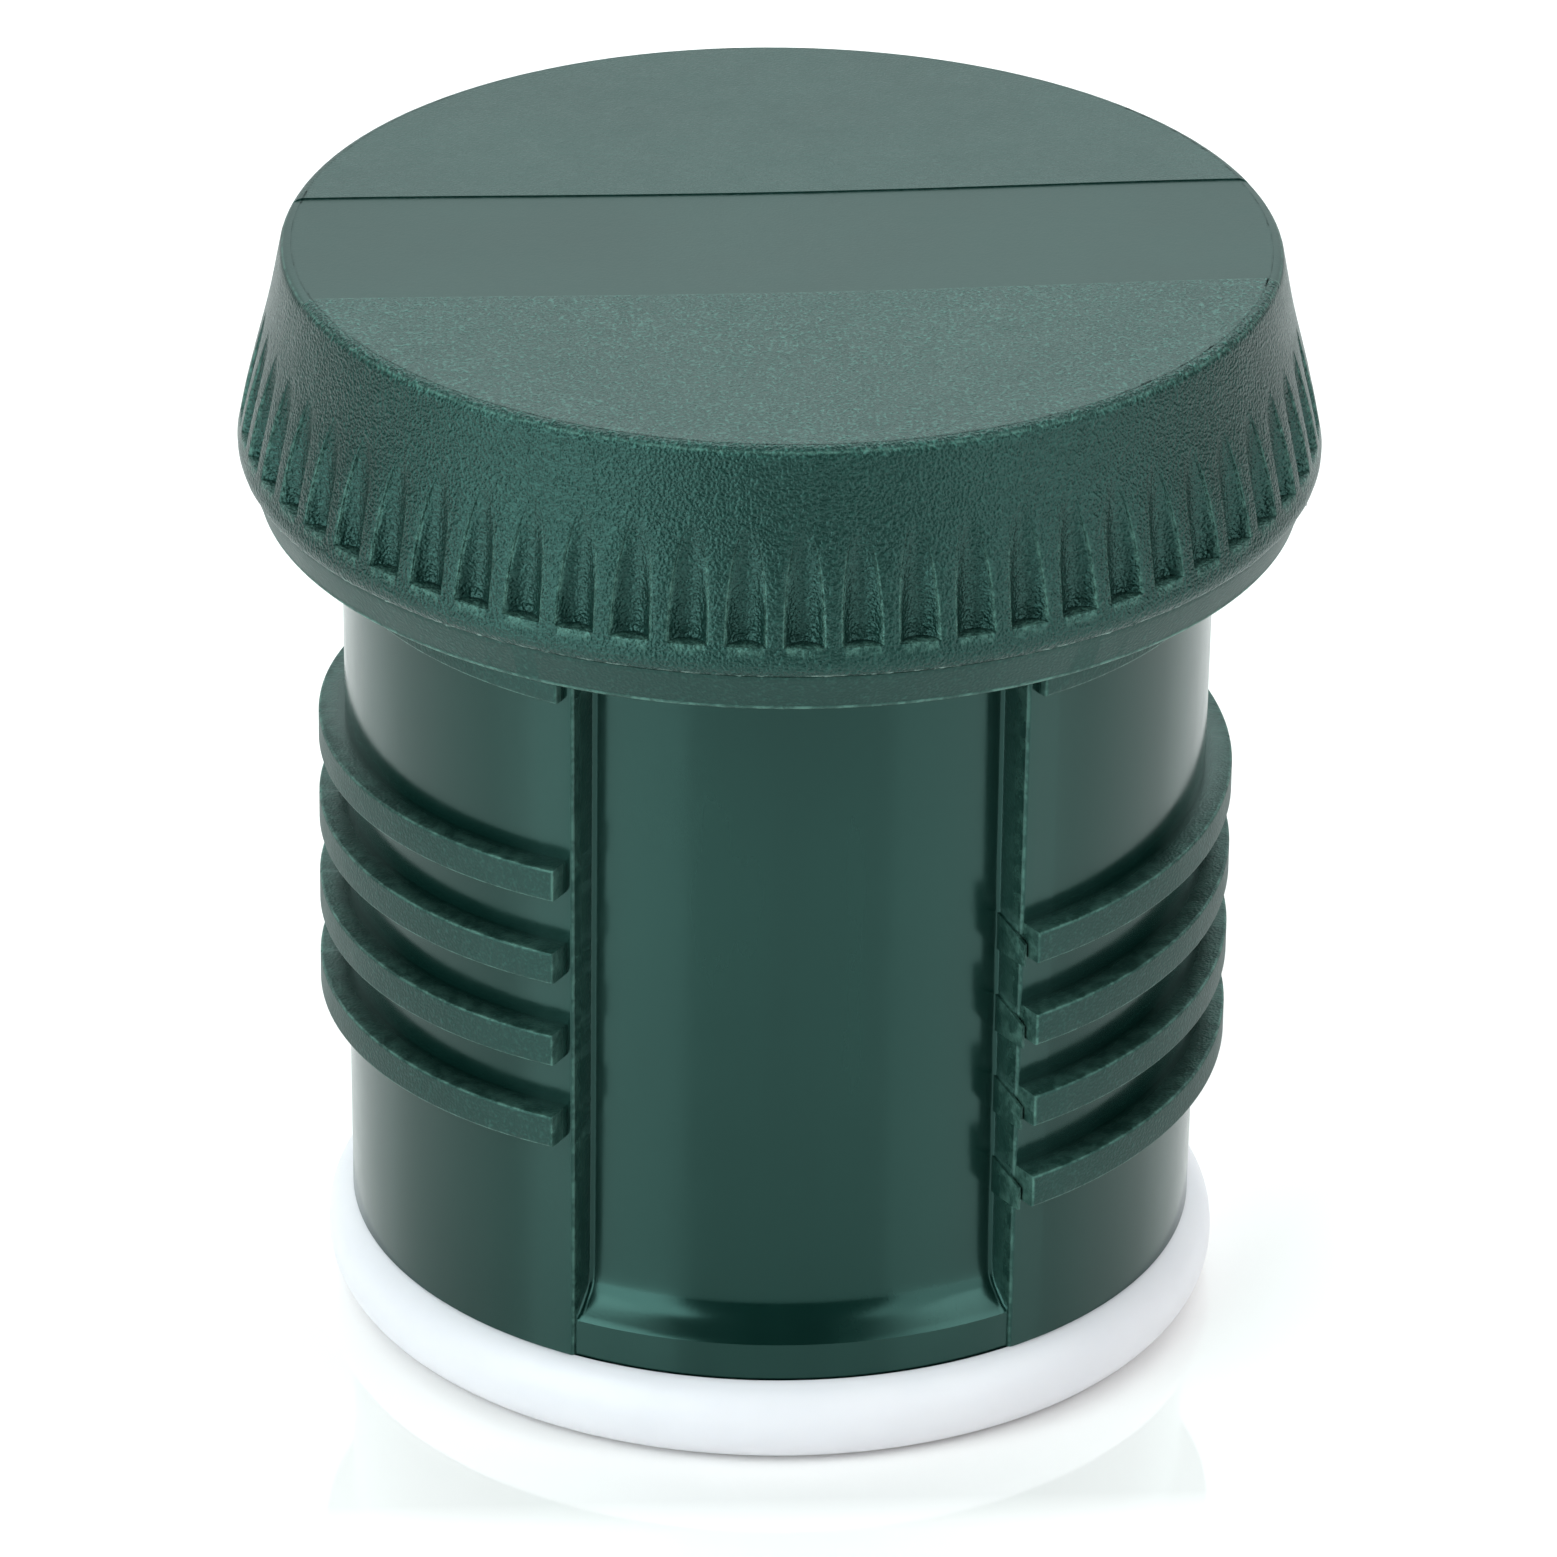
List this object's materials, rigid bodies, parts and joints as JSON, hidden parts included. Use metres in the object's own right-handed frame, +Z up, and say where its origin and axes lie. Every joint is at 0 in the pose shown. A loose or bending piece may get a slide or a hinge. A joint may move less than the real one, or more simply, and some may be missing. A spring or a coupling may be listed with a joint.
{
  "type": "vacuum flask stopper",
  "caption": "Round screw-in flask stopper with a knurled cap, a threaded barrel with two pour channels and a silicone gasket at the foot.",
  "frame": {"origin": "middle of the gasket's underside, where the stopper stands on a surface", "axes": "+Z up along the stopper's axis, front pour channel faces -Y, rear pour channel faces +Y, threaded sides at +X and -X"},
  "size_m": [0.0594, 0.0594, 0.0628],
  "materials": {
    "cap_plastic": "fine moulded grain, dark green polypropylene",
    "barrel_plastic": "smooth moulded, dark green polypropylene",
    "foam": "white bead foam",
    "silicone": "white food-grade silicone, satin"
  },
  "bodies": {
    "root": {"cap": "cap_plastic", "barrel": "barrel_plastic", "insulation_core": "foam", "gasket": "silicone"}
  },
  "joints": []
}
